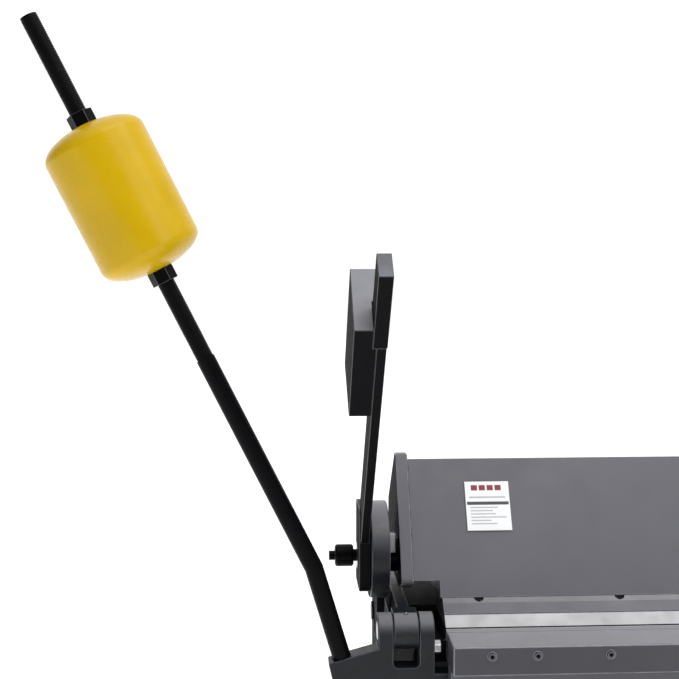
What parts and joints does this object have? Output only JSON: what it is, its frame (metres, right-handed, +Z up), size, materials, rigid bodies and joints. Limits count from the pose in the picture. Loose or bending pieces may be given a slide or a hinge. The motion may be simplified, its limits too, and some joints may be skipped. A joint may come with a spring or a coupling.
{
  "type": "sheet metal brake",
  "caption": "Floor-standing hand sheet metal brake: a lever-clamped beam holds the sheet and a counterweighted hinged apron folds it along a straight edge.",
  "frame": {"origin": "on the floor, under the middle of the bend line", "axes": "+X along the bend line to the operator's right, +Y to the back of the machine, +Z up"},
  "size_m": [2.4974, 0.6131, 1.7511],
  "materials": {
    "grey_paint": "satin",
    "grey_casting": "satin",
    "black_casting": "satin",
    "black_steel": "black oxide",
    "bolt_steel": "plain",
    "machined_steel": "machined",
    "ground_steel": "ground",
    "yellow_paint": "gloss",
    "bronze": "machined",
    "grip_rubber": "matte",
    "label_plate": "printed"
  },
  "bodies": {
    "frame": {"bed_beam": "grey_casting", "bed_blade": "machined_steel", "foot_left": "grey_paint", "foot_right": "grey_paint", "frame_bolts": "bolt_steel", "front_tie": "grey_paint", "hinge_bush_left": "bronze", "hinge_bush_right": "bronze", "link_pins_left": "black_casting", "link_pins_right": "black_casting", "rear_tie": "grey_paint", "side_frame_left": "grey_casting", "side_frame_right": "grey_casting"},
    "apron": {"apron_bar": "grey_paint", "apron_edge_strip": "machined_steel", "apron_set_screws": "black_steel", "apron_web": "grey_paint", "counterweight_rod_left": "black_steel", "counterweight_rod_right": "black_steel", "fork_bolts": "bolt_steel", "fork_lock_screw_left": "bolt_steel", "fork_lock_screw_right": "bolt_steel", "handle_bar_left": "black_steel", "handle_bar_right": "black_steel", "handle_grip_left": "grip_rubber", "handle_grip_right": "grip_rubber", "hinge_fork_left": "grey_casting", "hinge_fork_right": "grey_casting", "hinge_pin_left": "ground_steel", "hinge_pin_right": "ground_steel"},
    "counterweight_left": {"counterweight_left": "yellow_paint", "counterweight_nuts_left": "black_steel"},
    "counterweight_right": {"counterweight_right": "yellow_paint", "counterweight_nuts_right": "black_steel"},
    "clamp_beam": {"clamp_back_plate": "grey_paint", "clamp_base_plate": "grey_paint", "clamp_front_plate": "grey_paint", "clamp_link_left": "black_casting", "clamp_link_right": "black_casting", "clamp_ribs": "grey_paint", "end_plate_left": "grey_paint", "end_plate_right": "grey_paint", "nose_bar": "machined_steel", "nose_bolts": "black_steel", "rating_plate": "label_plate", "shaft_bearing_left": "black_steel", "shaft_bearing_right": "black_steel"},
    "clamp_shaft": {"cross_shaft": "ground_steel", "lever_bar_left": "black_casting", "lever_bar_right": "black_casting", "lever_bolts": "black_steel", "lever_head_left": "black_casting", "lever_head_right": "black_casting", "lever_hub_left": "black_casting", "lever_hub_right": "black_casting", "lever_weight_left": "black_casting", "lever_weight_right": "black_casting", "shaft_knob_left": "black_steel", "shaft_knob_right": "black_steel"}
  },
  "joints": [
    {"name": "apron_swing", "type": "hinge", "parent": "frame", "child": "apron", "pos_m": [0, 0, 0.9], "axis": [-1, 0, 0], "range_deg": [0, 130]},
    {"name": "weight_left_slide", "type": "slide", "parent": "apron", "child": "counterweight_left", "axis": [-0.4478, 0, 0.8942], "range_m": [-0.1, 0.12]},
    {"name": "weight_right_slide", "type": "slide", "parent": "apron", "child": "counterweight_right", "axis": [0.4478, 0, 0.8942], "range_m": [-0.1, 0.12]},
    {"name": "beam_lift", "type": "slide", "parent": "frame", "child": "clamp_beam", "axis": [0, 0.6428, 0.766], "range_m": [0, 0.03]},
    {"name": "lever_swing", "type": "hinge", "parent": "clamp_beam", "child": "clamp_shaft", "pos_m": [0, 0.124, 0.975], "axis": [-1, 0, 0], "range_deg": [0, 85]}
  ],
  "couplings": [
    {"joint": "beam_lift", "follows": "lever_swing", "m_per_rad": 0.02021}
  ]
}
